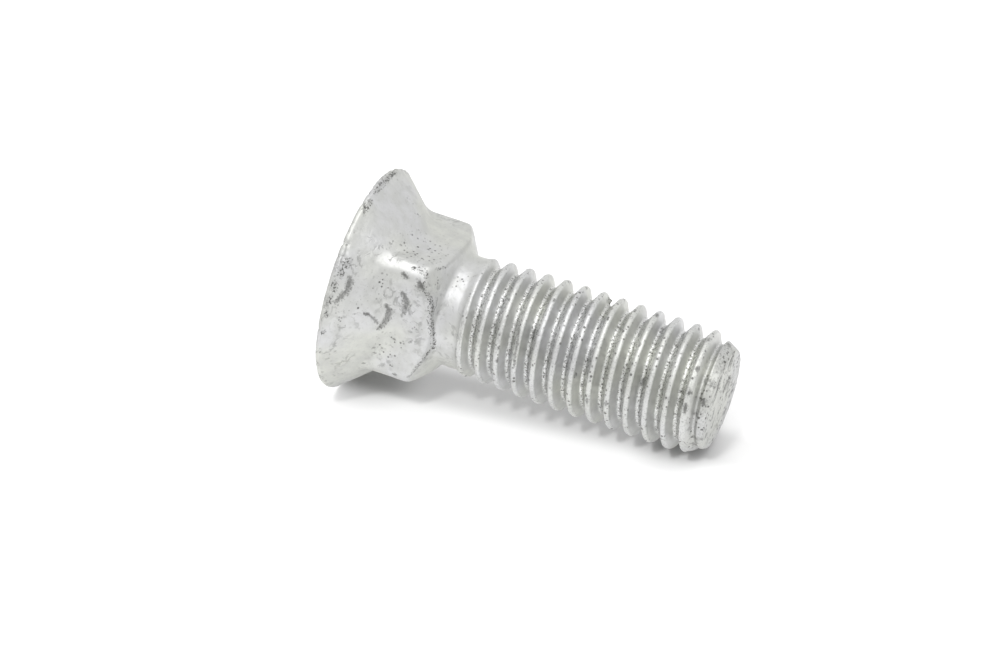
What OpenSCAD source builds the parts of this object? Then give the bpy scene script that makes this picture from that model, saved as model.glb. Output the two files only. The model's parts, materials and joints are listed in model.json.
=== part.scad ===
// Plow bolt: a flat countersunk head, a square neck that keeps the bolt from turning,
// a short plain shank and a coarse right-hand thread. It is one forged and rolled piece of
// steel with a thick zinc coat, so it is one solid.
// It stands on its head: the flat face lies on z = 0 and the shank points up along +Z.
// The neck's flats face X and Y.

/* [Head] */
// Diameter of the head across its rim
head_d = 22.7; // [19:0.1:30]
// Height of the thin upright band of the rim
rim_h = 0.6; // [0.5:0.05:1.5]
// Radius that rounds both edges of the rim
rim_r = 0.22; // [0.05:0.01:0.24]
// Included angle of the countersunk cone
cone_angle = 80; // [70:1:90]

/* [Square neck] */
// Width of the square neck across its flats
neck_w = 13.1; // [12:0.1:14.5]
// Radius of the neck's four upright corners
corner_r = 1.6; // [0.6:0.1:3]
// Length of the neck's corners above the cone
neck_l = 4.7; // [3:0.1:12]
// Radius of the hollow blend between cone and neck
blend_r = 2; // [0.5:0.1:3]
// Angle between the axis and the bevel at the neck's end
bevel_angle = 57; // [35:1:60]
// Radius that rounds the edge between flats and bevel
edge_r = 0.8; // [0.1:0.1:1.2]
// Radius of the fillet between bevel and shank
fillet_r = 0.7; // [0.3:0.1:1.6]

/* [Shank] */
// Overall length from the flat face to the point
bolt_l = 38.1; // [30:0.1:100]
// Diameter of the plain shank, about the pitch diameter of the thread
shank_d = 11.3; // [10.8:0.1:12]
// Length of plain shank between the neck's fillet and the first crest
plain_l = 0.5; // [0:0.1:20]

/* [Thread] */
// Crest diameter of the thread with its zinc coat
thread_d = 12.46; // [12.2:0.02:13]
// Threads per inch
tpi = 13; // [11:1:20]
// Depth of the thread from crest to root
thread_depth = 1.12; // [0.6:0.02:1.2]
// Width of the rounded crest
crest_w = 0.44; // [0.2:0.02:0.5]
// Height of the crown on the crest
crown_h = 0.07; // [0:0.01:0.12]
// Width of the rounded root
root_w = 0.34; // [0.1:0.02:0.4]
// Distance by which the zinc in the roots moves them towards the head
root_shift = 0.04; // [0:0.01:0.06]
// Length over which the first crest rises from the shank
rise_l = 0.6; // [0.2:0.1:2]
// Distance from the start of the first crest to the start of the first groove
groove_lead = 0.8; // [0.2:0.1:2]
// Length over which the first groove sinks to its full depth
runout_l = 1; // [0.5:0.1:3]
// Crest diameter of the first whole thread, before the crests are filled
first_d = 11.9; // [11.4:0.05:12.4]
// Length over which the crests fill to the full diameter
fill_l = 9; // [2:0.5:20]
// Angle round the axis at which a crest passes the first flank of the thread
start_angle = 144; // [0:1:360]

/* [Point] */
// Diameter of the flat end
point_d = 10; // [8.5:0.1:10.8]
// Angle between the axis and the chamfer of the point
point_angle = 28; // [20:1:45]

/* [Hidden] */
zinc = [0.78, 0.79, 0.78];
lap = 0.15;            // the cone reaches this far down into the rim band
snap = 0.002;          // points of the thread this close to its end or start lie on it
ledge = 0.04;          // flat left on top of the rim outside the cone
corner_steps = 5;      // steps round each upright corner
flat_steps = 8;        // steps along each flat
arc_steps = 4;         // steps round each blend, edge and fillet

pitch = 25.4 / tpi;
cone_half = cone_angle / 2;
rim_top_r = head_d / 2 - rim_r - ledge;
shank_r = shank_d / 2;
crest_r = thread_d / 2;
corner_reach = (neck_w / 2 - corner_r) * sqrt(2) + corner_r;
neck_h = rim_h + (rim_top_r - corner_reach) / tan(cone_half) + neck_l;
shank_z = neck_h + (corner_reach - shank_r) / tan(bevel_angle) + fillet_r * tan(bevel_angle / 2);
thread_z = shank_z + plain_l;

// ---- small helpers ----
function clamp(v, lo, hi) = min(max(v, lo), hi);
function mix(a, b, t) = a + (b - a) * clamp(t, 0, 1);

// ---- outline of the square neck, one point per column of the skin ----
neck_outline = [
    for (q = [0:3])
        let (c = neck_w / 2 - corner_r)
        for (p = concat(
            [for (i = [0:corner_steps])
                let (a = 90 * i / corner_steps)
                [c + corner_r * cos(a), c + corner_r * sin(a)]],
            [for (i = [1:flat_steps - 1])
                [c - 2 * c * i / flat_steps, neck_w / 2]]))
        [p.x * cos(90 * q) - p.y * sin(90 * q), p.x * sin(90 * q) + p.y * cos(90 * q)]
];
columns = len(neck_outline);
function column_angle(i) =
    let (p = neck_outline[i], a = atan2(p.y, p.x))
    a < atan2(neck_outline[0].y, neck_outline[0].x) - 0.001 ? a + 360 : a;

// ---- profile of one column, as [radius, height] pairs ----
// Hollow arc from the cone to the upright line at radius r.
function cone_blend(r) =
    let (z = rim_h + (rim_top_r - r) / tan(cone_half) + blend_r * tan(cone_half / 2))
    [for (i = [0:arc_steps])
        let (a = cone_half * (1 - i / arc_steps))
        [r + blend_r * (1 - cos(a)), z - blend_r * sin(a)]];

// Rounded edge from the upright line at radius r to the bevel.
function bevel_edge(r) =
    let (z = neck_h + (corner_reach - r) / tan(bevel_angle) - edge_r * tan(bevel_angle / 2))
    [for (i = [0:arc_steps])
        let (a = bevel_angle * i / arc_steps)
        [r - edge_r * (1 - cos(a)), z + edge_r * sin(a)]];

// Hollow arc from the bevel to the shank.
function shank_fillet() =
    [for (i = [0:arc_steps])
        let (a = bevel_angle * (1 - i / arc_steps))
        [shank_r + fillet_r * (1 - cos(a)), shank_z - fillet_r * sin(a)]];

// ---- the thread ----
// One pitch: [offset along the axis, share of the full depth], crest first.
thread_form = [
    [-crest_w / 2, crown_h / thread_depth],
    [0, 0],
    [crest_w / 2, crown_h / thread_depth],
    [(pitch - root_w) / 2 - root_shift, 1],
    [(pitch + root_w) / 2 - root_shift, 1]
];
form_points = len(thread_form);

// Radius of the thread where the form asks for a share s of its depth. The first crest
// stands up from the shank before the first groove sinks below it.
function thread_radius(s, z) =
    let (crest = mix(first_d / 2, crest_r, (z - thread_z) / fill_l),
         full = mix(crest, crest_r - thread_depth, s),
         rise = (z - thread_z) / rise_l,
         sink = (z - thread_z - groove_lead) / runout_l,
         point = point_d / 2 + (bolt_l - z) * tan(point_angle))
    min(mix(shank_r, full, full > shank_r ? rise : sink), point);

// Share of the depth at a distance d above the first crest point of a pitch, 0 <= d < pitch.
function form_share(d) =
    lookup(d, concat(
        [for (p = thread_form) [p[0] + crest_w / 2, p[1]]],
        [[pitch, thread_form[0][1]]]));

function crest_height(angle) = thread_z + pitch * (angle - start_angle) / 360;

// Thread points of the column at this angle. Points past either end gather on the end.
first_turn = -1;
last_turn = ceil((bolt_l - thread_z) / pitch) + 1;
function thread_column(angle) = [
    for (k = [first_turn:last_turn])
        for (p = thread_form)
            let (z = crest_height(angle) + k * pitch + p[0],
                 low = crest_height(angle) + first_turn * pitch - crest_w / 2)
            z <= thread_z + snap ? [shank_r, thread_z]
            : z < bolt_l - snap ? [thread_radius(p[1], z), z]
            : [thread_radius(form_share((bolt_l - low) % pitch), bolt_l), bolt_l]
];

// ---- the skin: one column of points for each point of the neck's outline ----
function column(i) =
    let (r = norm(neck_outline[i]))
    concat(
        [[rim_top_r + lap * tan(cone_half), rim_h - lap]],
        cone_blend(r),
        bevel_edge(r),
        shank_fillet(),
        [[shank_r, thread_z]]);
plain_points = 2 + 3 * (arc_steps + 1);
column_points = plain_points + form_points * (last_turn - first_turn + 1);

skin_points = [
    for (i = [0:columns - 1])
        let (a = column_angle(i))
        for (p = concat(column(i), thread_column(a)))
            [p[0] * cos(a), p[0] * sin(a), p[1]]
];

// Point j of column i. Past the last column the helix has climbed one pitch.
function skin_index(i, j) =
    i < columns || j < plain_points
    ? (i % columns) * column_points + j
    : min(j + form_points, column_points - 1);

skin_faces = concat(
    [for (i = [0:columns - 1]) for (j = [0:column_points - 2])
        [skin_index(i, j), skin_index(i, j + 1), skin_index(i + 1, j + 1)]],
    [for (i = [0:columns - 1]) for (j = [0:column_points - 2])
        [skin_index(i, j), skin_index(i + 1, j + 1), skin_index(i + 1, j)]],
    [[for (i = [0:columns - 1]) skin_index(i, 0)]],
    [[for (i = [columns - 1:-1:0]) skin_index(i, column_points - 1)]]
);

// ---- modules ----
module rim() {
    rotate_extrude($fn = 96)
        union() {
            translate([0, rim_r]) square([head_d / 2, rim_h - 2 * rim_r]);
            square([head_d / 2 - rim_r, rim_h]);
            for (z = [rim_r, rim_h - rim_r])
                translate([head_d / 2 - rim_r, z]) circle(rim_r, $fn = 16);
        }
}

module neck_and_thread() {
    polyhedron(points = skin_points, faces = skin_faces, convexity = 10);
}

module plow_bolt() {
    color(zinc) {
        rim();
        neck_and_thread();
    }
}

plow_bolt();
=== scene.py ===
import json
import math

import bmesh
import bpy
from mathutils import Matrix, Vector


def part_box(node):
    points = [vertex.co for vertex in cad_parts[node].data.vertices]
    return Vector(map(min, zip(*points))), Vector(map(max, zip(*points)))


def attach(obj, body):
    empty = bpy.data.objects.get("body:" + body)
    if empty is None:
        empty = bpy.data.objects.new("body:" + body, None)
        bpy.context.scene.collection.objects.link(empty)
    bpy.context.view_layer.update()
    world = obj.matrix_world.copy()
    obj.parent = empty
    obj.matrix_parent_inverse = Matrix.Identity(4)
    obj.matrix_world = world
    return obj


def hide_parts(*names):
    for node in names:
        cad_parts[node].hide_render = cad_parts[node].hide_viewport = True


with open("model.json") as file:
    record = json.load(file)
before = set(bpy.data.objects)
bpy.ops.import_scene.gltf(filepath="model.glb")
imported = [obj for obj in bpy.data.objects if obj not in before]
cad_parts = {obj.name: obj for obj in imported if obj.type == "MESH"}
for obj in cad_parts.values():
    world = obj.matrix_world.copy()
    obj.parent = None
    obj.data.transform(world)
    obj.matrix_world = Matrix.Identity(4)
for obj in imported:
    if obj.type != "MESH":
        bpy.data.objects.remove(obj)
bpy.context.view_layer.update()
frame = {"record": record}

scene = bpy.context.scene
mm = 0.001
mounts = {m["name"]: m for m in frame["record"]["mounts"]}
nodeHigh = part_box("plow_bolt")[1]

# Lengths are in millimetres and angles in degrees. The bolt stands on its head, shank up.
mesh = {
    "columns": 200,  # of the thread; the head has twice as many
    "rowsPerPitch": 17,
    "spareTurns": 4,  # of the thread's grid, past both ends
    "weldDistance": 0.002,
}


def tangent(degrees):
    return math.tan(math.radians(degrees))


def cosine(degrees):
    return math.cos(math.radians(degrees))


def sine(degrees):
    return math.sin(math.radians(degrees))


# Node trees: a formula on fields reads as an ordinary sum
class Field:
    def __init__(self, tree, socket):
        self.tree = tree
        self.socket = socket

    def math(self, operation, *others):
        node = self.tree.nodes.new("ShaderNodeMath")
        node.operation = operation
        for entry, value in zip(node.inputs, (self, *others)):
            plug(self.tree, entry, value)
        return Field(self.tree, node.outputs[0])

    def __add__(self, other):
        return self.math("ADD", other)

    __radd__ = __add__

    def __sub__(self, other):
        return self.math("SUBTRACT", other)

    def __rsub__(self, other):
        return self.math("MULTIPLY", -1).math("ADD", other)

    def __mul__(self, other):
        return self.math("MULTIPLY", other)

    __rmul__ = __mul__

    def __truediv__(self, other):
        return self.math("DIVIDE", other)

    def clamped(self):
        return self.math("MAXIMUM", 0).math("MINIMUM", 1)

    def rise(self, low, high):  # 0 below low, 1 above high, smooth between
        node = self.tree.nodes.new("ShaderNodeMapRange")
        node.interpolation_type = "SMOOTHSTEP"
        for name, value in (("Value", self), ("From Min", low), ("From Max", high)):
            plug(self.tree, node.inputs[name], value)
        return Field(self.tree, node.outputs[0])


def plug(tree, entry, value):
    if isinstance(value, Field):
        tree.links.new(value.socket, entry)
    else:
        entry.default_value = value


def addNode(tree, kind, inputs=None, **settings):
    node = tree.nodes.new(kind)
    for name, value in settings.items():
        setattr(node, name, value)
    for name, value in (inputs or {}).items():
        plug(tree, node.inputs[name], value)
    return node


def blend(low, high, share):
    return low + (high - low) * share


def highest(fields):
    top, *others = fields
    for other in others:
        top = top.math("MAXIMUM", other)
    return top


def socketKind(value):
    for kind, name in ((int, "Int"), (float, "Float"), (bpy.types.Object, "Object")):
        if isinstance(value, kind):
            return "NodeSocket" + name
    return "NodeSocketMaterial"


def newShapeTree(name, inputs):
    tree = bpy.data.node_groups.new(name, "GeometryNodeTree")
    tree.interface.new_socket("Geometry", in_out="INPUT", socket_type="NodeSocketGeometry")
    for label, value in inputs.items():
        tree.interface.new_socket(label, in_out="INPUT", socket_type=socketKind(value))
    tree.interface.new_socket("Geometry", in_out="OUTPUT", socket_type="NodeSocketGeometry")
    entry = tree.nodes.new("NodeGroupInput")
    fields = {label: Field(tree, entry.outputs[label]) for label in ["Geometry", *inputs]}
    return tree, fields


def finishShapeTree(tree, shape, material):
    realized = addNode(tree, "GeometryNodeRealizeInstances", {"Geometry": shape})
    painted = addNode(tree, "GeometryNodeSetMaterial",
                      {"Geometry": Field(tree, realized.outputs[0]), "Material": material})
    outlet = tree.nodes.new("NodeGroupOutput")
    tree.links.new(painted.outputs[0], outlet.inputs[0])


def growMesh(piece, tree, inputs):  # runs a tree on the piece and keeps the plain mesh
    modifier = piece.modifiers.new(tree.name, "NODES")
    modifier.node_group = tree
    for item in tree.interface.items_tree:
        if item.in_out == "INPUT" and item.name in inputs:
            modifier[item.identifier] = inputs[item.name]
    graph = bpy.context.evaluated_depsgraph_get()
    grown = bpy.data.meshes.new_from_object(piece.evaluated_get(graph))
    piece.modifiers.clear()
    piece.data = grown
    return piece


# Head and neck
bolt = {
    "headRadius": nodeHigh.x / mm,
    "length": nodeHigh.z / mm,
    "rimHeight": 0.6,
    "rimRound": 0.22,
    "coneRadius": mounts["cone_seat"]["dims"]["r_mm"],  # where the cone leaves the rim
    "coneHalf": 40,
    "neckWidth": mounts["square_neck"]["dims"]["spacing_x_mm"],
    "cornerRound": 1.6,
    "neckLength": 4.7,  # of the corners, above the cone
    "neckBlend": 2.0,
    "bevelAngle": 57,
    "bevelRound": 0.8,
    "shankRadius": 5.65,
    "shankFillet": 0.7,
    "plainLength": 0.5,
}
headRows = {"face": 14, "rimFoot": 3, "rimTop": 4, "cone": 34, "hollow": 10,
            "flat": 20, "edge": 5, "bevel": 13, "fillet": 7}


def squareRadius(angle):  # of the rounded square at an angle round the axis
    turn = (angle + 45) % 90 - 45
    centre = bolt["neckWidth"] / 2 - bolt["cornerRound"]
    if bolt["neckWidth"] / 2 * tangent(abs(turn)) <= centre:
        return bolt["neckWidth"] / 2 / cosine(turn)
    reach = centre * math.sqrt(2)
    off = abs(turn) - 45
    return reach * cosine(off) + math.sqrt(bolt["cornerRound"] ** 2 - (reach * sine(off)) ** 2)


def arc(centreX, centreZ, radius, start, end, steps):
    turns = [start + (end - start) * i / steps for i in range(steps + 1)]
    return [(centreX + radius * cosine(a), centreZ + radius * sine(a)) for a in turns]


def line(start, end, steps):  # without its ends
    return [tuple(s + (e - s) * i / steps for s, e in zip(start, end)) for i in range(1, steps)]


def headProfile(radius):  # (radius, height) from the flat face up to the thread
    b, rows = bolt, headRows
    cone, bevel = b["coneHalf"], b["bevelAngle"]
    rimIn = b["headRadius"] - b["rimRound"]
    coneReach = squareRadius(45)
    neckTop = b["rimHeight"] + (b["coneRadius"] - coneReach) / tangent(cone) + b["neckLength"]
    shankZ = neckTop + (coneReach - b["shankRadius"]) / tangent(bevel)
    shankZ += b["shankFillet"] * tangent(bevel / 2)
    blendZ = b["rimHeight"] + (b["coneRadius"] - radius) / tangent(cone)
    blendZ += b["neckBlend"] * tangent(cone / 2)
    edgeZ = neckTop + (coneReach - radius) / tangent(bevel) - b["bevelRound"] * tangent(bevel / 2)
    face = line((0, 0), (rimIn, 0), rows["face"])
    rim = arc(rimIn, b["rimRound"], b["rimRound"], -90, 0, rows["rimFoot"])
    rim += arc(rimIn, b["rimHeight"] - b["rimRound"], b["rimRound"], 0, cone, rows["rimTop"])
    hollow = arc(radius + b["neckBlend"], blendZ, b["neckBlend"], 180 + cone, 180, rows["hollow"])
    edge = arc(radius - b["bevelRound"], edgeZ, b["bevelRound"], 0, bevel, rows["edge"])
    fillet = arc(b["shankRadius"] + b["shankFillet"], shankZ, b["shankFillet"],
                 180 + bevel, 180, rows["fillet"])
    threadStart = (b["shankRadius"], shankZ + b["plainLength"])
    return (face + rim + line(rim[-1], hollow[0], rows["cone"]) + hollow
            + line(hollow[-1], edge[0], rows["flat"]) + edge
            + line(edge[-1], fillet[0], rows["bevel"]) + fillet + [threadStart])


def headMesh():
    count = 2 * mesh["columns"]
    angles = [360 * i / count for i in range(count)]
    profiles = [headProfile(squareRadius(a)) for a in angles]
    rows = len(profiles[0])
    form = bmesh.new()
    pole = form.verts.new((0, 0, 0))
    skin = [[form.verts.new((r * cosine(a) * mm, r * sine(a) * mm, z * mm)) for r, z in profile]
            for a, profile in zip(angles, profiles)]
    for i in range(count):
        here, there = skin[i], skin[(i + 1) % count]
        form.faces.new((pole, there[0], here[0]))
        for j in range(rows - 2):
            form.faces.new((here[j], there[j], there[j + 1], here[j + 1]))
    for i in range(0, count, 2):  # the last row has half the columns, to meet the thread
        here, middle, there = skin[i], skin[i + 1], skin[(i + 2) % count]
        form.faces.new((here[-2], middle[-2], there[-2], there[-1], here[-1]))
    spare = [skin[i][-1] for i in range(1, count, 2)]
    bmesh.ops.delete(form, geom=spare, context="VERTS")
    result = bpy.data.meshes.new("plowBoltSkin")
    form.to_mesh(result)
    form.free()
    return result


# Thread: a sheared grid whose rows climb one pitch in a turn
thread = {
    "Crest Radius": mounts["thread"]["dims"]["r_mm"],
    "First Crest Radius": 5.95,
    "Fill Length": 9.0,
    "Depth": 1.12,
    "Pitch": 25.4 / 13,
    "Crest Width": 0.44,
    "Crown Height": 0.07,
    "Root Width": 0.34,
    "Root Shift": 0.04,  # towards the head
    "Root Round": 0.14,
    "Rise Length": 1.8,  # of the first crest
    "Groove Lead": 0.8,  # from the first crest to the first groove
    "Run-out Length": 1.0,
    "Swell Foot": -0.95,  # the first crest swells out of the shank between these two,
    "Swell Top": -0.05,  # measured from the middle of the crest
    "Start Angle": 144.0,
    "Point Radius": 5.0,
    "Point Angle": 28.0,
    "Point Round": 0.12,
    "Face Turns": 1.5,  # past the end, in which the end face closes to the axis
}
threadZones = {  # where each kind of finish fades in
    "crest": (0.08, 0.3),  # shares of the depth
    "pointSide": (0.08, 0.2),
    "root": (0.85, 0.98),
    "headSide": (-0.15, 0.0),  # from the middle of the crest
    "end": (2.0, 1.1),  # from the end of the bolt
}


def threadTree(inputs):
    tree, f = newShapeTree("Rolled Thread", inputs)
    turns = f["Turns"]
    grid = addNode(tree, "GeometryNodeMeshGrid",
                   {"Size X": 1, "Size Y": 1,
                    "Vertices X": f["Columns"] + 1,
                    "Vertices Y": turns * f["Rows per Pitch"] + 1})
    place = addNode(tree, "ShaderNodeSeparateXYZ",
                    {"Vector": Field(tree, tree.nodes.new("GeometryNodeInputPosition").outputs[0])})
    across = Field(tree, place.outputs["X"]) + 0.5
    along = (Field(tree, place.outputs["Y"]) + 0.5) * turns - 1

    # share of the depth: 0 on the crest line, 1 in the root
    lift = f["Start Z"] - f["Pitch"] * f["Start Angle"] / 360
    height = lift + f["Pitch"] * (across + along)
    fromCrest = ((along + 0.5).math("FLOORED_MODULO", 1) - 0.5) * f["Pitch"]
    offCrest = fromCrest.math("ABSOLUTE")
    crown = f["Crown Height"] / f["Depth"]
    pointward = fromCrest.math("GREATER_THAN", 0)
    flankWidth = ((f["Pitch"] - f["Root Width"] - f["Crest Width"]) / 2
                  + f["Root Shift"] - f["Root Shift"] * pointward * 2)
    flank = blend(crown, 1, (offCrest - f["Crest Width"] / 2) / flankWidth)
    crest = crown * (offCrest / f["Crest Width"] * 2).math("POWER", 2)
    share = flank.math("MAXIMUM", crest).math("SMOOTH_MIN", 1, f["Root Round"])

    level = height.math("MAXIMUM", f["Start Z"]).math("MINIMUM", f["End Z"])
    filled = ((level - f["Start Z"]) / f["Fill Length"]).clamped()
    crestRadius = blend(f["First Crest Radius"], f["Crest Radius"], filled)
    full = blend(crestRadius, f["Crest Radius"] - f["Depth"], share)
    rise = ((level - f["Start Z"]) / f["Rise Length"]).clamped()
    sink = ((level - f["Start Z"] - f["Groove Lead"]) / f["Run-out Length"]).clamped()
    proud = full.math("GREATER_THAN", f["Shank Radius"])
    rolled = blend(f["Shank Radius"], full, blend(sink, rise, proud))
    swell = blend(f["Shank Radius"], crestRadius,
                  fromCrest.rise(f["Swell Foot"], f["Swell Top"]) * rise)
    grooveBefore = height - fromCrest - f["Pitch"] / 2 - f["Start Z"] - f["Groove Lead"]
    beforeGroove = (1 - (grooveBefore / f["Run-out Length"]).rise(0.0, 1.0)) * (1 - pointward)
    rolled = rolled + (swell - rolled).math("MAXIMUM", 0) * beforeGroove
    slope = f["Point Angle"].math("RADIANS").math("TANGENT")
    chamfer = f["Point Radius"] + (f["End Z"] - level) * slope
    pastEnd = ((height - f["End Z"]) / (f["Pitch"] * f["Face Turns"])).clamped()
    radius = rolled.math("SMOOTH_MIN", chamfer, f["Point Round"]) * (1 - pastEnd)

    zones = threadZones
    onThread = sink * (1 - pastEnd.math("GREATER_THAN", 0))
    headSide = (1 - fromCrest.rise(*zones["headSide"])) * (1 - beforeGroove)
    pointSide = (1 - headSide) * share.rise(*zones["pointSide"])
    end = level.rise(*(f["End Z"] - fromEnd for fromEnd in zones["end"]))
    sheet = Field(tree, grid.outputs["Mesh"])
    for name, value in (("crest", (1 - share.rise(*zones["crest"])) * onThread),
                        ("root", share.rise(*zones["root"]) * onThread),
                        ("headSide", headSide * onThread),
                        ("pointSide", pointSide * onThread),
                        ("end", end)):
        stored = addNode(tree, "GeometryNodeStoreNamedAttribute",
                         {"Geometry": sheet, "Name": name, "Value": value})
        sheet = Field(tree, stored.outputs[0])

    turn = across * (2 * math.pi)
    point = addNode(tree, "ShaderNodeCombineXYZ",
                    {"X": radius * turn.math("COSINE") * mm,
                     "Y": radius * turn.math("SINE") * mm,
                     "Z": level * mm})
    moved = addNode(tree, "GeometryNodeSetPosition",
                    {"Geometry": sheet, "Position": Field(tree, point.outputs[0])})
    shape = Field(tree, moved.outputs[0])
    joined = tree.nodes.new("GeometryNodeJoinGeometry")
    for part in (f["Geometry"], shape):
        tree.links.new(part.socket, joined.inputs[0])
    welded = addNode(tree, "GeometryNodeMergeByDistance",
                     {"Geometry": Field(tree, joined.outputs[0]),
                      "Distance": mesh["weldDistance"] * mm})
    finishShapeTree(tree, Field(tree, welded.outputs[0]), f["Material"])
    return tree


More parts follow.
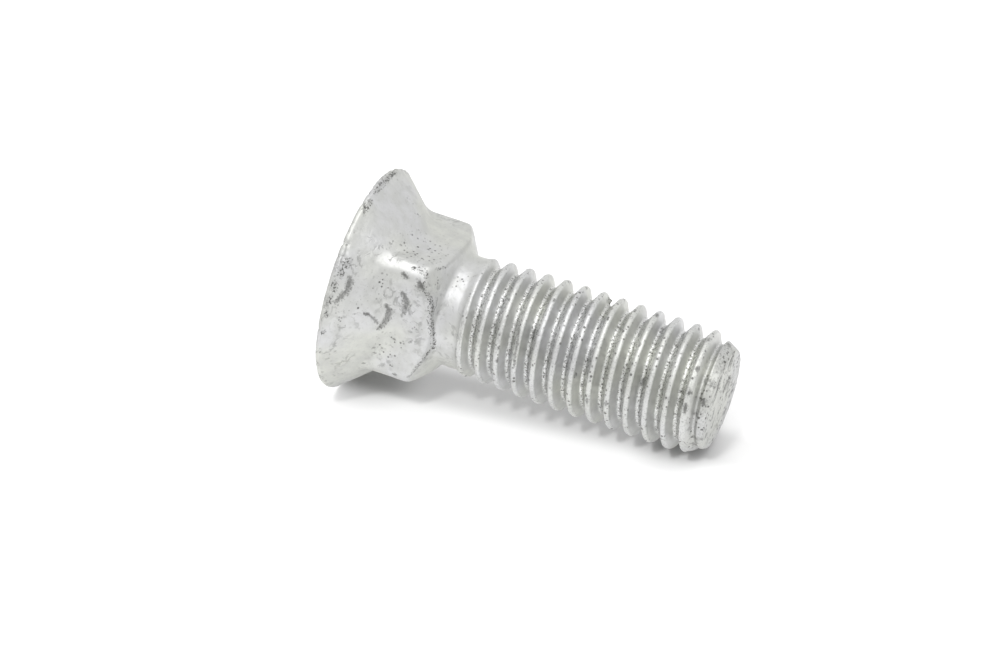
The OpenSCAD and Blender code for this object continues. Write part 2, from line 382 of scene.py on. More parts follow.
# Dents, scratches and crusts. Each mark is a path of (degrees round the axis, millimetres up)
# with its width, its depth (less than 0 for a bead that stands proud) and its darkness.
marks = {
    "rimCrescent": {"path": [(62, 1.65), (65, 1.85), (69, 1.8), (73, 1.5), (77, 1.1)],
                    "width": 0.44, "depth": 0.15, "dark": 0.95},
    "rimCrescentCore": {"path": [(63, 1.75), (66, 1.85), (69, 1.75)],
                        "width": 0.52, "depth": 0.16, "dark": 1},
    "rimChipA": {"path": [(59, 0.6), (61, 0.8), (63, 1.0)],
                 "width": 0.42, "depth": -0.03, "dark": 1},
    "rimChipB": {"path": [(67, 0.6), (71, 0.8)], "width": 0.4, "depth": -0.03, "dark": 1},
    "rimChipC": {"path": [(74, 0.65), (78, 0.6)], "width": 0.34, "depth": -0.03, "dark": 1},
    "rimChipD": {"path": [(83, 0.65), (85, 0.65)], "width": 0.28, "depth": -0.02, "dark": 1},
    "rimChipE": {"path": [(93, 0.7), (95, 0.6)], "width": 0.26, "depth": -0.02, "dark": 1},
    "rimFaint": {"path": [(56, 0.7), (56, 1.0), (54, 1.3)],
                 "width": 0.55, "depth": -0.02, "dark": 0.9},
    "rimTopA": {"path": [(-15, 0.55), (-5, 0.6), (5, 0.6), (14, 0.6)],
                "width": 0.34, "depth": -0.02, "dark": 1},
    "rimTopB": {"path": [(19, 0.7), (24, 0.6), (29, 0.7)],
                "width": 0.34, "depth": -0.02, "dark": 1},
    "hook": {"path": [(74, 5.1), (79, 5.5), (85, 5.5), (90, 5.3), (95, 4.9)],
             "width": 0.42, "depth": 0.16, "dark": 1},
    "hookTail": {"path": [(84, 4.1), (87, 4.5), (90, 4.8)],
                 "width": 0.24, "depth": 0.05, "dark": 0.8},
    "hookSpot": {"path": [(82, 3.5), (83, 4.0)], "width": 0.24, "depth": 0.05, "dark": 1},
    "crescent": {"path": [(61, 6.3), (65, 6.7), (69, 6.9), (75, 6.8), (79, 6.7)],
                 "width": 0.42, "depth": 0.16, "dark": 1},
    "crescentTail": {"path": [(78, 6.7), (82, 6.7)], "width": 0.16, "depth": 0.03, "dark": 0.6},
    "crescentSpecks": {"path": [(73, 7.3), (77, 7.5)], "width": 0.26, "depth": 0.02, "dark": 0.5},
    "cornerDash": {"path": [(49, 5.9), (50, 6.3), (51, 6.6)],
                   "width": 0.32, "depth": 0.06, "dark": 1},
    "cornerPit": {"path": [(51, 7.9), (53, 8.1), (54, 8.4)],
                  "width": 0.75, "depth": 0.12, "dark": 1},
    "cornerCrust": {"path": [(44, 6.7), (43, 7.3), (43, 7.7), (45, 8.2), (47, 8.3)],
                    "width": 0.34, "depth": -0.03, "dark": 1},
    "topScratch": {"path": [(38, 8.7), (34, 9.0), (30, 9.3)],
                   "width": 0.16, "depth": -0.02, "dark": 0.8},
    # painted shade: a faint dark line where the upper flat meets the bevel
    "paintedShadeTopEdge": {"path": [(29, 9.35), (20, 9.5), (10, 9.6), (0, 9.6), (-14, 9.55), (-26, 9.35)],
                "width": 0.34, "depth": 0.05, "dark": 0.2},
    "neckEdge": {"path": [(50, 8.3), (55, 8.6), (59, 9.1), (65, 9.4), (72, 9.5), (84, 9.8),
                          (93, 10.0), (103, 10.1), (109, 10.1)],
                 "width": 0.34, "depth": -0.06, "dark": 1},
    "neckEdgeFoot": {"path": [(110, 9.9), (115, 9.6), (120, 9.3), (124, 9.0), (128, 8.7)],
                     "width": 0.28, "depth": -0.03, "dark": 1},
    "dotA": {"path": [(37, 3.2), (37.5, 3.2)], "width": 0.17, "depth": 0.04, "dark": 1},
    "dotB": {"path": [(32, 3.5), (32, 3.8)], "width": 0.15, "depth": 0.04, "dark": 0.9},
    "dotC": {"path": [(28, 4.5), (28.5, 4.5)], "width": 0.17, "depth": 0.04, "dark": 0.8},
    "dotD": {"path": [(18, 6.7), (18, 6.9)], "width": 0.17, "depth": 0.04, "dark": 0.8},
    "dotE": {"path": [(27, 7.2), (27, 7.3)], "width": 0.15, "depth": 0.04, "dark": 0.9},
    "dotF": {"path": [(43, 4.3), (43.5, 4.3)], "width": 0.18, "depth": 0.04, "dark": 0.9},
    "lowScratch": {"path": [(91, 1.6), (92, 2.1), (90, 2.3)],
                   "width": 0.14, "depth": 0.03, "dark": 0.6},
    "lowScratchB": {"path": [(84, 2.6), (83, 2.7), (82, 3.2)],
                    "width": 0.12, "depth": 0.02, "dark": 0.4},
    "frontDashA": {"path": [(104, 6.2), (104.5, 6.5)], "width": 0.17, "depth": 0.04, "dark": 0.8},
    "frontDashB": {"path": [(103, 7.9), (100, 8.2)], "width": 0.15, "depth": 0.04, "dark": 0.75},
    "frontDashC": {"path": [(113, 4.5), (113.5, 4.7)], "width": 0.17, "depth": 0.03, "dark": 0.65},
    "frontDashD": {"path": [(119, 4.6), (119.5, 4.8)], "width": 0.18, "depth": 0.03, "dark": 0.7},
    "footPit": {"path": [(129, 3.6), (129, 3.9)], "width": 0.18, "depth": 0.04, "dark": 0.8},
    "footCrust": {"path": [(131, 6.8), (131, 7.2)], "width": 0.24, "depth": 0.04, "dark": 0.8},
    "footCrustB": {"path": [(130, 8.3), (130, 8.6)], "width": 0.2, "depth": 0.04, "dark": 0.6},
    "crestCrack": {"path": [(58, 18.2), (69, 18.4), (80, 18.5), (94, 18.7)],
                   "width": 0.24, "depth": 0.1, "dark": 1},
    "threadPit": {"path": [(80, 16.8), (83, 16.8)], "width": 0.24, "depth": 0.08, "dark": 1},
    "rootCrust": {"path": [(54, 19.4), (60, 19.5), (66, 19.7)],
                  "width": 0.3, "depth": 0.02, "dark": 0.9},
    "crestSpotA": {"path": [(-10, 29.9), (-4, 29.9)], "width": 0.32, "depth": 0.04, "dark": 0.9},
    "crestSpotB": {"path": [(-20, 34.0), (-15, 34.0)], "width": 0.3, "depth": 0.04, "dark": 0.9},
    "crestSpotC": {"path": [(3, 35.7), (8, 35.7)], "width": 0.25, "depth": 0.04, "dark": 0.8},
    "crestSpotD": {"path": [(-23, 20.2), (-19, 20.2)], "width": 0.25, "depth": 0.03, "dark": 0.8},
    "crestSpotE": {"path": [(-21, 22.1), (-17, 22.1)], "width": 0.25, "depth": 0.03, "dark": 0.8},
    "crestSpotF": {"path": [(80, 24.8), (86, 24.8)], "width": 0.2, "depth": 0.04, "dark": 0.9},
    "crestSpotG": {"path": [(101, 26.5), (106, 26.5)], "width": 0.22, "depth": 0.04, "dark": 0.9},
    "crestSpotH": {"path": [(96, 28.4), (103, 28.4)], "width": 0.22, "depth": 0.04, "dark": 0.9},
    "crestSpotI": {"path": [(92, 16.9), (97, 16.9)], "width": 0.2, "depth": 0.04, "dark": 0.9},
    "crestSpotJ": {"path": [(35, 29.9), (39, 29.9)], "width": 0.2, "depth": 0.04, "dark": 0.9},
    "nib": {"path": [(-31, 24.36), (-27, 24.36)], "width": 0.36, "depth": -0.38, "dark": 1.8},
    "rootSpeck": {"path": [(-6, 30.9), (1, 30.9)], "width": 0.25, "depth": 0.02, "dark": 0.9},
    "endPatch": {"path": [(39, 36.0), (42, 36.0)], "width": 0.4, "depth": 0.05, "dark": 1},
    "endPatchB": {"path": [(62, 36.1), (65, 36.1)], "width": 0.4, "depth": 0.05, "dark": 1},
    "endPatchC": {"path": [(74, 36.1), (78, 36.1), (83, 36.2)],
                  "width": 0.34, "depth": 0.04, "dark": 1},
    "chamferPatch": {"path": [(67, 37.5), (71, 37.6)], "width": 0.5, "depth": 0.04, "dark": 1},
    "rootPatch": {"path": [(66, 31.2), (73, 31.2)], "width": 0.34, "depth": 0.02, "dark": 0.9},
    "backDent": {"path": [(205, 2.2), (209, 2.6), (214, 2.4)],
                 "width": 0.3, "depth": 0.09, "dark": 0.6},
    "backHook": {"path": [(262, 5.6), (266, 6.2), (272, 6.3)],
                 "width": 0.25, "depth": 0.08, "dark": 0.6},
    "sideScratch": {"path": [(318, 1.9), (323, 2.6), (326, 3.4)],
                    "width": 0.14, "depth": 0.04, "dark": 0.6},
    "sidePit": {"path": [(171, 4.1), (173, 4.4)], "width": 0.3, "depth": 0.08, "dark": 0.8},
}
endMarks = {  # on the end of the thread, as (degrees round the axis, millimetres from it)
    "longSlot": {"path": [(-12, 4.6), (-6, 4.1), (2, 3.7)], "width": 0.6, "depth": 0.1, "dark": 1},
    "middleSlot": {"path": [(-41, 2.4), (-30, 1.6), (-8, 0.8)],
                   "width": 0.6, "depth": 0.1, "dark": 1},
    "edgeSlot": {"path": [(33, 4.4), (40, 4.0), (48, 3.5), (56, 3.7)],
                 "width": 0.7, "depth": 0.08, "dark": 1},
    "pitA": {"path": [(22, 4.6), (24, 4.6)], "width": 0.55, "depth": 0.08, "dark": 1},
    "pitB": {"path": [(-96, 1.6), (-90, 1.5)], "width": 0.55, "depth": 0.08, "dark": 1},
    "pitC": {"path": [(50, 0.7), (58, 0.7)], "width": 0.5, "depth": 0.06, "dark": 1},
    "pitD": {"path": [(-94, 3.8), (-92, 3.8)], "width": 0.5, "depth": 0.06, "dark": 1},
    "shortSlot": {"path": [(-104, 3.5), (-104, 4.3)], "width": 0.45, "depth": 0.06, "dark": 1},
    "pitE": {"path": [(-111, 3.1), (-111, 3.3)], "width": 0.45, "depth": 0.05, "dark": 1},
    "farSlot": {"path": [(170, 3.2), (182, 3.0), (190, 3.4)],
                "width": 0.2, "depth": 0.08, "dark": 0.8},
}


markShape = {
    "steps": 8,  # from one point of a path to the next
    "tip": 0.45,  # share of the width and depth that a mark has at its ends
    "fullness": 0.7,  # under 1 the ends are blunter
    "fromSide": 30,  # where the rays start that look for the skin
    "fromAbove": 100,
}


def between(p, q, r, s, t):  # a smooth curve that is q where t is 0 and r where it is 1
    return q + t * ((r - p) + t * (2 * p - 5 * q + 4 * r - s + t * (3 * (q - r) + s - p))) / 2


def smoothPath(path):  # a curve through the points of a mark
    steps = markShape["steps"]
    ends = [path[0], *path, path[-1]]
    for four in zip(ends, ends[1:], ends[2:], ends[3:]):
        for i in range(steps):
            yield tuple(between(*values, i / steps) for values in zip(*four))
    yield path[-1]


def markRay(angle, reach, onEnd):  # start and direction of the ray that finds the skin
    outward = Vector((cosine(angle), sine(angle), 0))
    if onEnd:
        above = Vector((0, 0, markShape["fromAbove"] * mm))
        return outward * reach * mm + above, Vector((0, 0, -1))
    return outward * markShape["fromSide"] * mm + Vector((0, 0, reach * mm)), -outward


def markPoints(piece):  # vertices along the marks, on the skin of the piece
    rows = []
    for group, onEnd in ((marks, False), (endMarks, True)):
        for mark in group.values():
            track = list(smoothPath(mark["path"]))
            for i, (angle, reach) in enumerate(track):
                found, spot, _, _ = piece.ray_cast(*markRay(angle, reach, onEnd))
                swell = math.sin(math.pi * (i + 0.5) / len(track)) ** markShape["fullness"]
                taper = blend(markShape["tip"], 1, swell)
                if found:
                    rows.append((spot, mark["width"] * taper * mm,
                                 mark["depth"] * taper * mm, mark["dark"]))
    cloud = bpy.data.meshes.new("markPoints")
    cloud.from_pydata([row[0] for row in rows], [], [])
    for column, name in enumerate(("width", "depth", "dark"), 1):
        values = [row[column] for row in rows]
        cloud.attributes.new(name, "FLOAT", "POINT").data.foreach_set("value", values)
    holder = bpy.data.objects.new("markPoints", cloud)
    scene.collection.objects.link(holder)
    return holder


zincCoat = {  # sizes and heights of the coat's unevenness
    "Lump Size": 2.4,
    "Lump Height": 0.10,
    "Grain Size": 0.8,
    "Grain Height": 0.05,
    "Bead Size": 0.42,
    "Bead Height": 0.07,
    "Rim Wear": 0.16,
    "Seed": 7.0,
}
coatPlaces = {
    "headEnd": (8, 12),  # heights between which the lumps fade
    "threadGrain": 0.3,  # share of the grain above them
    "rimEdge": (0.45, 0.1),  # in from the rim
    "rimTop": (0.7, 1.0),  # heights
    "wornSize": 0.8,
    "wornDetail": 3.0,
    "wornLevels": (0.0, 0.18),
    "dentEdge": (0.2, 1.1),  # from the middle of a mark, in widths of the mark
    "markReach": 3,
    "standing": 0.02,  # the face it stands on lies below this height
}


def coatTree(inputs):
    places = coatPlaces
    tree, f = newShapeTree("Zinc Coat", inputs)
    position = Field(tree, tree.nodes.new("GeometryNodeInputPosition").outputs[0])
    normal = Field(tree, tree.nodes.new("GeometryNodeInputNormal").outputs[0])
    inMm = addNode(tree, "ShaderNodeVectorMath", {0: position, "Scale": 1 / mm}, operation="SCALE")
    spot = Field(tree, inMm.outputs[0])

    def attribute(name):
        node = addNode(tree, "GeometryNodeInputNamedAttribute", {"Name": name})
        return Field(tree, node.outputs["Attribute"])

    def noise(size, offset, detail=2.0):  # from about -0.5 to 0.5
        scale = size.math("POWER", -1) if isinstance(size, Field) else 1 / size
        node = addNode(tree, "ShaderNodeTexNoise",
                       {"Vector": spot, "W": f["Seed"] + offset, "Scale": scale, "Detail": detail},
                       noise_dimensions="4D")
        return Field(tree, node.outputs[0]) - 0.5

    place = addNode(tree, "ShaderNodeSeparateXYZ", {"Vector": spot})
    x, y, z = (Field(tree, place.outputs[i]) for i in range(3))
    around = (x * x + y * y).math("SQRT")
    onHead = 1 - z.rise(*places["headEnd"])
    grainShare = onHead.math("MAXIMUM", places["threadGrain"])
    beaded = highest(attribute(name) for name in ("crest", "root", "headSide"))
    lumps = noise(f["Lump Size"], 0) * f["Lump Height"] * onHead
    lumps = lumps + noise(f["Grain Size"], 3) * f["Grain Height"] * grainShare
    lumps = lumps + noise(f["Bead Size"], 5) * f["Bead Height"] * beaded
    rimEdge = around.rise(*(f["Rim Radius"] - inward for inward in places["rimEdge"]))
    worn = noise(places["wornSize"], 9, places["wornDetail"]).rise(*places["wornLevels"])
    wear = rimEdge * (1 - z.rise(*places["rimTop"])) * worn

    marksInfo = addNode(tree, "GeometryNodeObjectInfo", {"Object": f["Marks"]},
                        transform_space="RELATIVE")
    cloud = Field(tree, marksInfo.outputs["Geometry"])
    near = addNode(tree, "GeometryNodeProximity", {"Geometry": cloud}, target_element="POINTS")
    nearest = addNode(tree, "GeometryNodeSampleNearest", {"Geometry": cloud}, domain="POINT")

    def sampled(name):
        node = addNode(tree, "GeometryNodeSampleIndex",
                       {"Geometry": cloud, "Value": attribute(name),
                        "Index": Field(tree, nearest.outputs[0])})
        return Field(tree, node.outputs[0])

    gap = Field(tree, near.outputs["Distance"]) / sampled("width")
    dent = 1 - gap.rise(*places["dentEdge"])
    offset = (lumps - wear * f["Rim Wear"]) * mm - dent * sampled("depth")
    standing = (places["standing"] - z).math("GREATER_THAN", 0)  # this face only wears inward
    offset = blend(offset, offset.math("MINIMUM", 0), standing)
    shift = addNode(tree, "ShaderNodeVectorMath", {0: normal, "Scale": offset}, operation="SCALE")
    moved = addNode(tree, "GeometryNodeSetPosition",
                    {"Geometry": f["Geometry"], "Offset": Field(tree, shift.outputs[0])})
    shape = Field(tree, moved.outputs[0])
    for name, value in (("markGap", gap.math("MINIMUM", places["markReach"])),
                        ("markDark", sampled("dark")),
                        ("markHollow", sampled("depth").math("GREATER_THAN", 0)),
                        ("wear", wear)):
        stored = addNode(tree, "GeometryNodeStoreNamedAttribute",
                         {"Geometry": shape, "Name": name, "Value": value})
        shape = Field(tree, stored.outputs[0])
    smooth = addNode(tree, "GeometryNodeSetShadeSmooth", {"Geometry": shape})
    finishShapeTree(tree, Field(tree, smooth.outputs[0]), f["Material"])
    return tree


# Zinc
zinc = {
    "cool": (0.615, 0.618, 0.622),
    "warm": (0.625, 0.632, 0.595),
    "dull": (0.530, 0.535, 0.518),
    # the pale colour of the specks and of the painted highlights
    "paleAndHighlit": (0.88, 0.885, 0.88),
    "speck": (0.095, 0.095, 0.090),
    "mottleLevels": (0.36, 0.66),
    "dullShare": 0.62,
    # pale specks on the beads; painted highlight on the crests and on one neck edge
    "paleAndHighlitShare": {"beads": 0.85, "crest": 0.16, "corner": 0.3},
    "highlightReach": (8.36, 8.6),  # painted highlight: from the axis towards the edge between the flats that face +X and +Y
    "highlightHeight": (3.9, 4.7),
    "roughness": {"all": 0.42, "mottle": 0.3, "beads": -0.12, "corner": -0.05, "dark": 0.2},
    "beadedShare": {"crest": 0.28, "end": 0.15, "lostAtEnd": 0.8},
    "cleanPointSide": 0.9,
    "grainHeight": 0.03,
    "grainShare": {"all": 0.5, "beads": 1.2},
    "hammerHeight": 0.10,
    "wrinkleDepth": 0.03,
    "dotDepth": 0.02,
}
zincNoises = {  # one with levels is 0 below the first and 1 above the second
    "warm": {"size": 6, "detail": 1, "levels": (0.38, 0.62)},
    "mottle": {"size": 1.3, "detail": 4, "rough": 0.6, "warp": 0.4, "seed": 13},
    "grain": {"size": 0.35, "detail": 3, "rough": 0.6, "seed": 5},
    "hammered": {"size": 1.6, "detail": 3, "warp": 0.5, "seed": 31},
    "crowd": {"size": 3.2, "seed": 4, "levels": (0.54, 0.68)},
    "dots": {"size": 0.45, "detail": 1, "seed": 7, "levels": (0.30, 0.44)},
    "crestDots": {"size": 1.2, "detail": 1, "seed": 41, "levels": (0.36, 0.50)},
    "endDots": {"size": 1.4, "detail": 1, "seed": 43, "levels": (0.40, 0.52)},
    "endDarkening": {"size": 1.0, "detail": 4, "rough": 0.7, "seed": 37, "levels": (0.52, 0.64)},
    "faint": {"size": 0.34, "rough": 0.65, "seed": 2, "levels": (0.56, 0.72)},
    "wrinkleGroovesAndShade": {"size": 1.7, "detail": 3, "rough": 0.55, "warp": 0.9, "seed": 15},
    "wrinkleFields": {"size": 3.1, "seed": 17, "levels": (0.44, 0.60)},
    "wrinkleBreaks": {"size": 0.7, "detail": 1, "seed": 18, "levels": (0.40, 0.55)},
    "darkBeads": {"size": 0.20, "rough": 0.7, "seed": 8, "levels": (0.53, 0.60)},
    "brightBeads": {"size": 0.18, "rough": 0.7, "seed": 21, "levels": (0.54, 0.61)},
    "grit": {"size": 0.25, "detail": 3, "rough": 0.65, "seed": 11},
    "crust": {"size": 0.2, "rough": 0.65, "seed": 19, "levels": (0.50, 0.58)},
    "worn": {"size": 0.25, "rough": 0.65, "seed": 25, "levels": (0.48, 0.58)},
}
zincPits = {
    "dots": {"apart": 0.4, "radius": 0.1, "seed": 3},
    "crestDots": {"apart": 0.45, "radius": 0.13, "seed": 9},
    "endDots": {"apart": 0.45, "radius": 0.15, "seed": 5},
}
zincSpecks = {
    "darkness": {"dots": 0.8, "crestDots": 0.8, "endDots": 0.85, "endDarkening": 1, "faint": 0.28,
                 "wrinkleGroovesAndShade": 0.32, "darkBeads": 0.9, "mark": 0.8, "crust": 0.9, "worn": 0.75},
    "smallestPit": 0.4,  # share of the radius
    "pitEdge": (0.6, 1.1),  # share of the pit
    "crowdShare": 0.8,
    "fields": (  # centre and radius of each place that is crowded with dots
        ((6.9, 2.6, 6.4), 3.6), ((3.9, 7.3, 4.0), 2.0),
        ((2.0, 8.6, 3.0), 1.6), ((-2.5, 6.5, 6.0), 2.4)),
    "fieldCore": 0.3,  # share of the radius
    "faintElsewhere": 0.35,
    "wrinkleEdge": (0.005, 0.05),
    "wrinkleSides": (1, 7),  # they fade towards the middle of the flats that face X
    "endDarkening": (0.16, 0.61),  # least and most darkening of the end of the thread
    "markEdge": (0.1, 1.0),  # from the middle of a mark, in widths of the mark
    "beadMark": 0.35,  # darkness of a mark that stands proud
    "crustEdge": (0.6, 1.5),
    "crustGrit": 0.9,
    "hollowCrust": 0.75,  # darkness of the crust round a mark that lies deep
}


def zincMaterial():
    material = bpy.data.materials.new("zincCoat")
    material.use_nodes = True
    tree = material.node_tree
    shader = tree.nodes["Principled BSDF"]
    shader.inputs["Metallic"].default_value = 1.0
    coords = tree.nodes.new("ShaderNodeTexCoord")
    scaled = addNode(tree, "ShaderNodeMapping",
                     {"Vector": Field(tree, coords.outputs["Object"]), "Scale": (1 / mm,) * 3})
    spot = Field(tree, scaled.outputs[0])
    place = addNode(tree, "ShaderNodeSeparateXYZ", {"Vector": spot})
    x, y, z = (Field(tree, place.outputs[i]) for i in range(3))

    def noise(name):
        n = zincNoises[name]
        node = addNode(tree, "ShaderNodeTexNoise",
                       {"Vector": spot, "W": n.get("seed", 0), "Scale": 1 / n["size"],
                        "Detail": n.get("detail", 2), "Roughness": n.get("rough", 0.5),
                        "Distortion": n.get("warp", 0)}, noise_dimensions="4D")
        value = Field(tree, node.outputs[0])
        return value.rise(*n["levels"]) if "levels" in n else value

    def attribute(name):
        node = tree.nodes.new("ShaderNodeAttribute")
        node.attribute_name = name
        return Field(tree, node.outputs["Fac"])

    def mixColour(share, low, high):
        node = addNode(tree, "ShaderNodeMix", data_type="RGBA")
        plug(tree, node.inputs["Factor"], share)
        for name, value in (("A", low), ("B", high)):
            entry = [s for s in node.inputs if s.name == name and s.type == "RGBA"][0]
            plug(tree, entry, value if isinstance(value, Field) else (*value, 1))
        return Field(tree, [s for s in node.outputs if s.type == "RGBA"][0])

    def pits(name):  # round dots of uneven size
        pit = zincPits[name]
        moved = addNode(tree, "ShaderNodeVectorMath", {0: spot, 1: (pit["seed"],) * 3},
                        operation="ADD")
        cells = addNode(tree, "ShaderNodeTexVoronoi",
                        {"Vector": Field(tree, moved.outputs[0]), "Scale": 1 / pit["apart"]})
        parts = addNode(tree, "ShaderNodeSeparateColor",
                        {"Color": Field(tree, cells.outputs["Color"])})
        swell = Field(tree, parts.outputs[0]) + zincSpecks["smallestPit"]
        reach = swell * (pit["radius"] / pit["apart"])
        distance = Field(tree, cells.outputs["Distance"])
        return 1 - distance.rise(*(reach * edge for edge in zincSpecks["pitEdge"]))

    s = zincSpecks
    crest, root, wear, end = (attribute(name) for name in ("crest", "root", "wear", "end"))
    headSide, pointSide = attribute("headSide"), attribute("pointSide")
    gap, markDark, markHollow = (attribute(name) for name in ("markGap", "markDark", "markHollow"))

    # where the thread is beaded, where it is clean, and where a painted highlight lies along one
    # edge of the neck
    beads = zinc["beadedShare"]
    beaded = root.math("MAXIMUM", headSide * (1 - crest)) * (1 - end * beads["lostAtEnd"])
    beaded = (beaded + crest * beads["crest"] + end * beads["end"]).clamped()
    clean = 1 - pointSide * zinc["cleanPointSide"]
    toCorner = (x + y) * math.sqrt(0.5)
    # painted highlight: a pale band along the neck edge between the flats that face +X and +Y
    corner = toCorner.rise(*zinc["highlightReach"]) * z.rise(*zinc["highlightHeight"])

    crowd = noise("crowd") * s["crowdShare"]
    for centre, reach in s["fields"]:
        away = addNode(tree, "ShaderNodeVectorMath", {0: spot, 1: centre}, operation="DISTANCE")
        near = 1 - Field(tree, away.outputs["Value"]).rise(reach * s["fieldCore"], reach)
        crowd = crowd.math("MAXIMUM", near)

    # painted shade: the wrinkle grooves are darkened in the colour as well as dented by the bump
    wrinkleGroovesAndShade = 1 - (noise("wrinkleGroovesAndShade") - 0.5).math("ABSOLUTE").rise(*s["wrinkleEdge"])
    wrinkleGroovesAndShade = wrinkleGroovesAndShade * noise("wrinkleFields") * noise("wrinkleBreaks")
    wrinkleGroovesAndShade = wrinkleGroovesAndShade * (1 - beaded) * clean * y.math("ABSOLUTE").rise(*s["wrinkleSides"])

    grit = noise("grit") - 0.5
    mark = (1 - (gap + grit).rise(*s["markEdge"])) * markDark
    crust = (1 - (gap + grit * s["crustGrit"]).rise(*s["crustEdge"])) * noise("crust") * markDark
    dots = pits("dots") * crowd * noise("dots") * clean * (1 - beaded)
    specks = {
        "dots": dots,
        "crestDots": pits("crestDots") * crest * noise("crestDots"),
        "endDots": pits("endDots") * end * noise("endDots"),
        "endDarkening": end * blend(*s["endDarkening"], noise("endDarkening")),
        "faint": noise("faint") * blend(s["faintElsewhere"], 1, crowd) * clean,
        "wrinkleGroovesAndShade": wrinkleGroovesAndShade,
        "darkBeads": noise("darkBeads") * beaded,
        "mark": mark * blend(s["beadMark"], 1, markHollow),
        "crust": crust * blend(1, s["hollowCrust"], markHollow),
        "worn": noise("worn") * wear,
    }
    dark = highest(speck * s["darkness"][name] for name, speck in specks.items())

    mottle = noise("mottle")
    # pale specks on the beads; painted highlight on the crests and along one neck edge
    paleAndHighlitPlaces = {"beads": noise("brightBeads") * beaded, "crest": crest, "corner": corner}
    paleAndHighlit = highest(gleam * zinc["paleAndHighlitShare"][name] for name, gleam in paleAndHighlitPlaces.items())
    base = mixColour(noise("warm"), zinc["cool"], zinc["warm"])
    base = mixColour(mottle.rise(*zinc["mottleLevels"]) * zinc["dullShare"], base, zinc["dull"])
    base = mixColour(paleAndHighlit, base, zinc["paleAndHighlit"])
    plug(tree, shader.inputs["Base Color"], mixColour(dark, base, zinc["speck"]))
    rough = zinc["roughness"]
    roughness = (rough["all"] + (mottle - 0.5) * rough["mottle"] + beaded * rough["beads"]
                 + corner * rough["corner"] + dark * rough["dark"])
    plug(tree, shader.inputs["Roughness"], roughness.clamped())

    coarse = zinc["grainShare"]
    grain = noise("grain") * (coarse["all"] + beaded * coarse["beads"]) * zinc["grainHeight"]
    hammered = noise("hammered") * zinc["hammerHeight"] * (1 - beaded) * clean
    hammered = hammered - wrinkleGroovesAndShade * zinc["wrinkleDepth"] - dots * zinc["dotDepth"]
    bump = addNode(tree, "ShaderNodeBump",
                   {"Strength": 1.0, "Distance": mm, "Height": grain + hammered})
    tree.links.new(bump.outputs[0], shader.inputs["Normal"])
    return material


# Stage
view = {"aim": (0.246, 2.217, 15.553), "azimuth": 59.6, "elevation": 13.89,
        "roll": 108.87, "distance": 439.1, "lens": 162, "nearest": 10}
lampAim = 19  # height of the point that all lamps face
lamps = {  # the unmirrored ones light only the table and the card, for the shadow
    "key": {"azimuth": 17, "elevation": -1, "distance": 500, "wide": 640, "high": 430,
            "watts": 0.9, "mirrored": True},
    "point": {"azimuth": 22, "elevation": 40, "distance": 500, "wide": 260, "high": 260,
              "watts": 0.17, "mirrored": True},
    "soft": {"azimuth": 12, "elevation": 5, "distance": 500, "wide": 540, "high": 600,
             "watts": 0.9, "mirrored": False},
    "edge": {"azimuth": 44, "elevation": -8, "distance": 500, "wide": 60, "high": 60,
             "watts": 1.3, "mirrored": False},
}
table = {"shade": 0.45, "worldGlow": 1.0, "floorGlow": 0.85,
         "halfWidth": 2000, "gap": 0.02}  # the gap is under the face that stands on it


def direction(azimuth, elevation):
    return Vector((cosine(azimuth) * cosine(elevation), sine(azimuth) * cosine(elevation),
                   sine(elevation)))


def addCamera():
    camera = bpy.data.objects.new("camera", bpy.data.cameras.new("camera"))
    back = direction(view["azimuth"], view["elevation"])
    camera.location = (Vector(view["aim"]) + back * view["distance"]) * mm
    level = (-back).to_track_quat("-Z", "Y").to_matrix().to_4x4()
    turned = level @ Matrix.Rotation(math.radians(view["roll"]), 4, "Z")
    camera.rotation_euler = turned.to_euler()
    camera.data.lens = view["lens"]
    camera.data.clip_start = view["nearest"] * mm
    scene.collection.objects.link(camera)
    scene.camera = camera


def addLamps():
    for name, lamp in lamps.items():
        data = bpy.data.lights.new(name, "AREA")
        data.shape = "RECTANGLE"
        data.size = lamp["wide"] * mm
        data.size_y = lamp["high"] * mm
        data.energy = lamp["watts"]
        holder = bpy.data.objects.new(name, data)
        toward = direction(lamp["azimuth"], lamp["elevation"])
        holder.location = toward * lamp["distance"] * mm + Vector((0, 0, lampAim * mm))
        holder.rotation_euler = toward.to_track_quat("Z", "Y").to_euler()
        holder.visible_camera = False
        holder.visible_glossy = lamp["mirrored"]
        scene.collection.objects.link(holder)


def rays(tree, *kinds):  # 1 for rays of these kinds
    path = tree.nodes.new("ShaderNodeLightPath")
    return highest(Field(tree, path.outputs["Is %s Ray" % kind]) for kind in kinds)


def addWorld():  # a plain white tent
    world = bpy.data.worlds.new("whiteTent")
    world.use_nodes = True
    ground = world.node_tree.nodes["Background"]
    ground.inputs["Color"].default_value = (1, 1, 1, 1)
    ground.inputs["Strength"].default_value = table["worldGlow"]
    scene.world = world


def tableMaterial(name, glowOf):  # seen from its front only
    material = bpy.data.materials.new(name)
    material.use_nodes = True
    tree = material.node_tree
    tree.nodes.remove(tree.nodes["Principled BSDF"])
    paper = addNode(tree, "ShaderNodeBsdfDiffuse", {"Color": (*(table["shade"],) * 3, 1)})
    glow = addNode(tree, "ShaderNodeEmission", {"Strength": glowOf(tree)})
    front = tree.nodes.new("ShaderNodeAddShader")
    tree.links.new(paper.outputs[0], front.inputs[0])
    tree.links.new(glow.outputs[0], front.inputs[1])
    behind = tree.nodes.new("ShaderNodeNewGeometry").outputs["Backfacing"]
    clear = tree.nodes.new("ShaderNodeBsdfTransparent")
    choice = tree.nodes.new("ShaderNodeMixShader")
    for i, source in enumerate((behind, front.outputs[0], clear.outputs[0])):
        tree.links.new(source, choice.inputs[i])
    tree.links.new(choice.outputs[0], tree.nodes["Material Output"].inputs["Surface"])
    return material


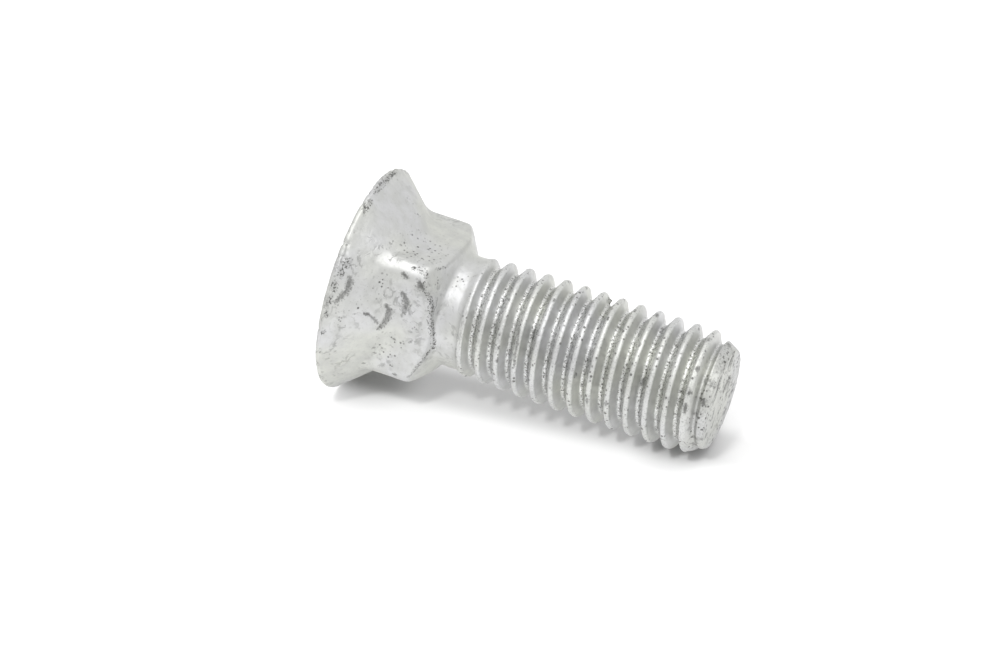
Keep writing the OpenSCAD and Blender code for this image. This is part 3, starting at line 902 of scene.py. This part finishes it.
def floorGlow(tree):
    return rays(tree, "Camera", "Glossy", "Transmission") * table["floorGlow"]


def addFloor():
    far, low = table["halfWidth"] * mm, -table["gap"] * mm
    plane = bpy.data.meshes.new("floor")
    plane.from_pydata([(-far, -far, low), (far, -far, low), (far, far, low), (-far, far, low)],
                      [], [(0, 1, 2, 3)])
    plane.materials.append(tableMaterial("paleFloor", floorGlow))
    floor = bpy.data.objects.new("floor", plane)
    floor.visible_glossy = False  # the metal sees the white tent through it
    floor.visible_diffuse = False
    floor.visible_shadow = False
    scene.collection.objects.link(floor)


card = {  # pale, and leans against the rim and the end of the thread
    "azimuth": -30.4,
    "towardCamera": 38,
    "headRest": 11.35,  # from the axis, where the rim touches it
    "headHeight": 0.3,
    "endRest": 6.2,  # from the axis, where the thread touches it
    "endHeight": 36.3,
    "below": 12,
    "above": 30,
    "side": 45,
    "nearGlow": 0.22,
    "farGlow": 0.22,
    "mirroredGlow": 0.40,
    "touches": ((1.5, 3.0), (1.5, 35.4)),  # where its shade is darkest, sideways and up
    "nearFade": (1.0, 6.0),
    "farFade": (1.5, 4.5),
}


def cardGlow(tree):  # painted shadow: it whitens away from the places where the bolt touches it and stays darkest at them
    c = card
    place = addNode(tree, "ShaderNodeSeparateXYZ",
                    {"Vector": Field(tree, tree.nodes.new("ShaderNodeTexCoord").outputs["Object"])})
    x, y, z = (Field(tree, place.outputs[i]) / mm for i in range(3))
    facing = c["azimuth"] + c["towardCamera"]
    aside = y * cosine(facing) - x * sine(facing)
    gaps = [((aside - right).math("POWER", 2) + (z - up).math("POWER", 2)).math("SQRT")
            for right, up in c["touches"]]
    near = gaps[0].math("MINIMUM", gaps[1]).rise(*c["nearFade"]) * c["nearGlow"]
    far = aside.math("ABSOLUTE").rise(*c["farFade"]) * c["farGlow"]
    return (rays(tree, "Camera") * (near + far)
            + rays(tree, "Glossy", "Transmission") * c["mirroredGlow"])


def addCard():
    c = card
    outward = direction(c["azimuth"] + c["towardCamera"], 0)
    sideways = Vector((0, 0, 1)).cross(outward)
    foot = -outward * c["headRest"] + Vector((0, 0, c["headHeight"]))
    top = -outward * c["endRest"] + Vector((0, 0, c["endHeight"]))
    slope = (top - foot).normalized()
    corners = [foot - slope * c["below"] - sideways * c["side"],
               foot - slope * c["below"] + sideways * c["side"],
               top + slope * c["above"] + sideways * c["side"],
               top + slope * c["above"] - sideways * c["side"]]
    plane = bpy.data.meshes.new("backCard")
    plane.from_pydata([p * mm for p in corners], [], [(0, 1, 2, 3)])
    plane.materials.append(tableMaterial("paleCard", cardGlow))
    holder = bpy.data.objects.new("backCard", plane)
    scene.collection.objects.link(holder)


# Build
zincSkin = zincMaterial()
piece = bpy.data.objects.new("zincPlowBolt", headMesh())
scene.collection.objects.link(piece)
print("head and neck:", len(piece.data.vertices), "points")

threadStart = headProfile(squareRadius(0))[-1][1]
turnCount = math.ceil((bolt["length"] - threadStart) / thread["Pitch"]) + mesh["spareTurns"]
threadInputs = {**thread, "Shank Radius": bolt["shankRadius"], "Start Z": threadStart,
                "End Z": bolt["length"], "Columns": mesh["columns"],
                "Rows per Pitch": mesh["rowsPerPitch"], "Turns": turnCount, "Material": zincSkin}
growMesh(piece, threadTree(threadInputs), threadInputs)
print("with thread:", len(piece.data.vertices), "points")

holder = markPoints(piece)
coatInputs = {**zincCoat, "Rim Radius": bolt["headRadius"], "Marks": holder, "Material": zincSkin}
growMesh(piece, coatTree(coatInputs), coatInputs)
bpy.data.objects.remove(holder)
print("with zinc coat:", sum(len(p.vertices) - 2 for p in piece.data.polygons), "triangles")

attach(piece, "root")
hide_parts("plow_bolt")

addCamera()
addLamps()
addWorld()
addFloor()
addCard()
scene.view_settings.view_transform = "Standard"
